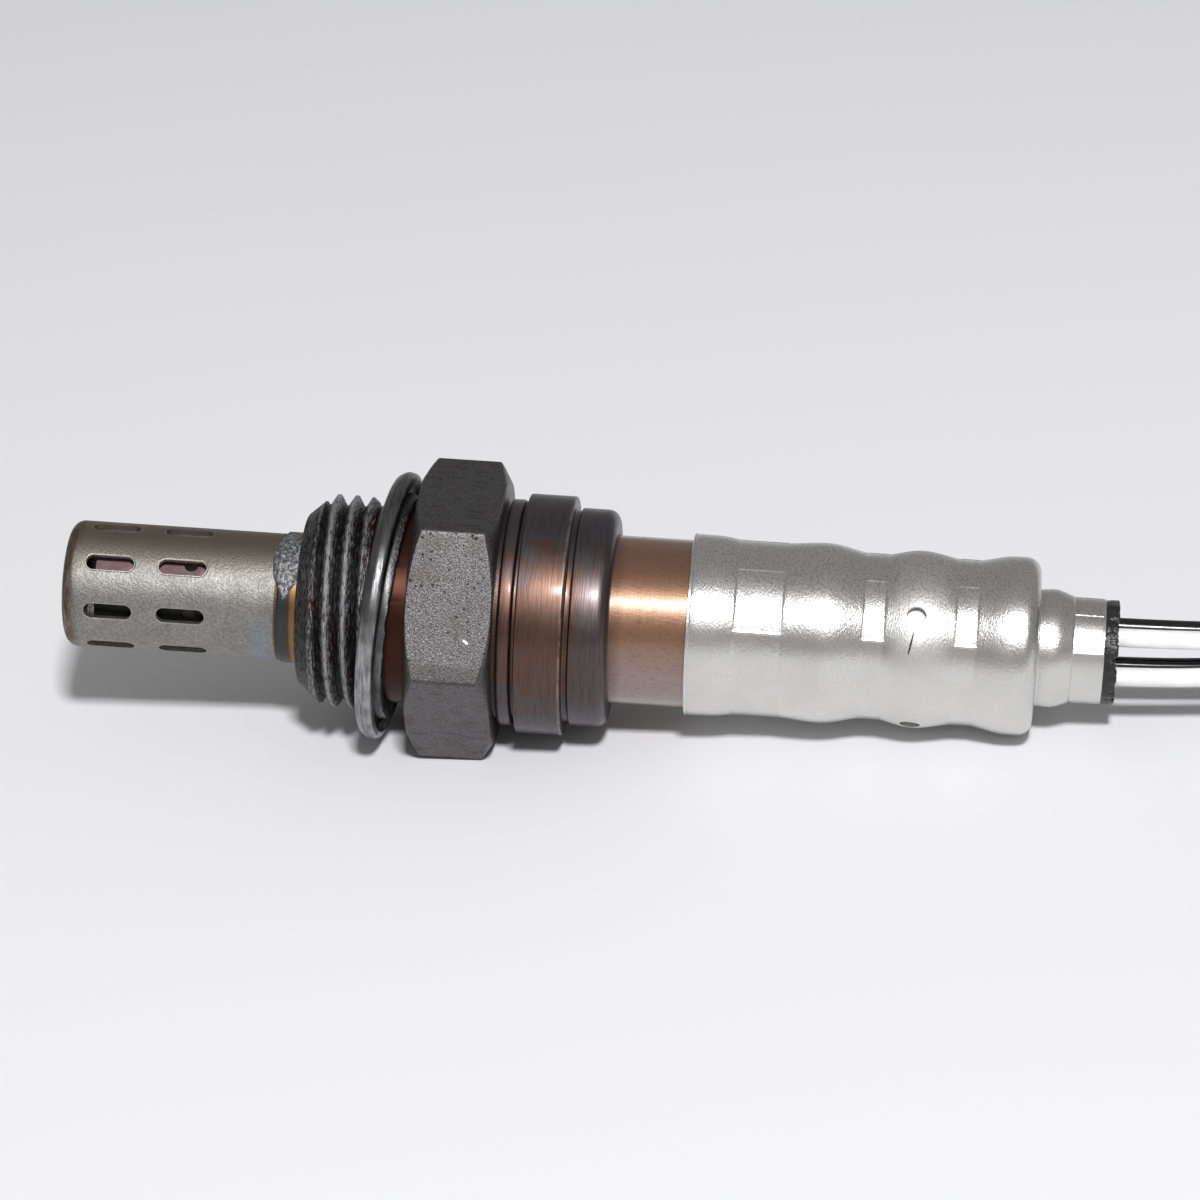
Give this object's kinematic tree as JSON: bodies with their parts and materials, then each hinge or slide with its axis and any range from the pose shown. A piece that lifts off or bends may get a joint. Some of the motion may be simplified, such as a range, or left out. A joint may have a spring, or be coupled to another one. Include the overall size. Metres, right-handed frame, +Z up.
{
  "type": "oxygen sensor",
  "caption": "Heated exhaust oxygen sensor: slotted protector, threaded hexagon housing, crimped shell, white and black wires, coiled sleeved lead and connector.",
  "frame": {"origin": "centre of the sensor without its lead, on the surface that it lies on", "axes": "+X towards the wires along the sensor seen from above, +Z up, -Y towards the front"},
  "size_m": [0.1874, 0.0589, 0.0229],
  "materials": {
    "protector_steel": "satin drawn stainless steel, heat tinted at the root",
    "housing_steel": "turned stainless steel, browned by heat, thread smeared with grey paste",
    "gasket_steel": "folded steel strip",
    "sleeve_steel": "drawn stainless steel with a bronze heat tint",
    "shell_steel": "drawn stainless steel, satin",
    "ceramic": "fired ceramic",
    "packing": "pressed mineral powder",
    "filter_membrane": "white porous membrane",
    "contact_metal": "plated spring metal",
    "grommet_rubber": "moulded black rubber",
    "white_insulation": "smooth white wire insulation",
    "black_insulation": "smooth black wire insulation",
    "loom_sleeving": "braided black glass sleeving",
    "shrink_tube": "black shrunk tube",
    "connector_plastic": "moulded dark grey nylon",
    "lock_plastic": "moulded orange-red nylon",
    "seal_silicone": "red-brown silicone seal",
    "tie_plastic": "natural nylon strap"
  },
  "bodies": {
    "root": {"outer_protector": "protector_steel", "inner_protector": "protector_steel", "housing": "housing_steel", "gasket": "gasket_steel", "seat_ring": "gasket_steel", "compression_ring": "gasket_steel", "centring_ring": "gasket_steel", "inner_sleeve": "sleeve_steel", "outer_shell": "shell_steel", "filter_sleeve": "shell_steel", "sensing_element": "ceramic", "heater_rod": "ceramic", "ceramic_bush": "ceramic", "terminal_block": "ceramic", "packing_powder": "packing", "vent_filter": "filter_membrane", "signal_terminal": "contact_metal", "ground_terminal": "contact_metal", "heater_terminal_1": "contact_metal", "heater_terminal_2": "contact_metal", "connector_terminal_1": "contact_metal", "connector_terminal_2": "contact_metal", "connector_terminal_3": "contact_metal", "connector_terminal_4": "contact_metal", "grommet": "grommet_rubber", "white_wire_1": "white_insulation", "white_wire_2": "white_insulation", "black_wire_1": "black_insulation", "black_wire_2": "black_insulation", "loom_lead": "loom_sleeving", "loom_coil": "loom_sleeving", "loom_tail": "loom_sleeving", "entry_boot": "shrink_tube", "connector_boot": "shrink_tube", "connector_body": "connector_plastic", "connector_latch": "connector_plastic", "connector_lock": "lock_plastic", "connector_seal": "seal_silicone", "coil_tie_1": "tie_plastic", "coil_tie_2": "tie_plastic"}
  },
  "joints": []
}
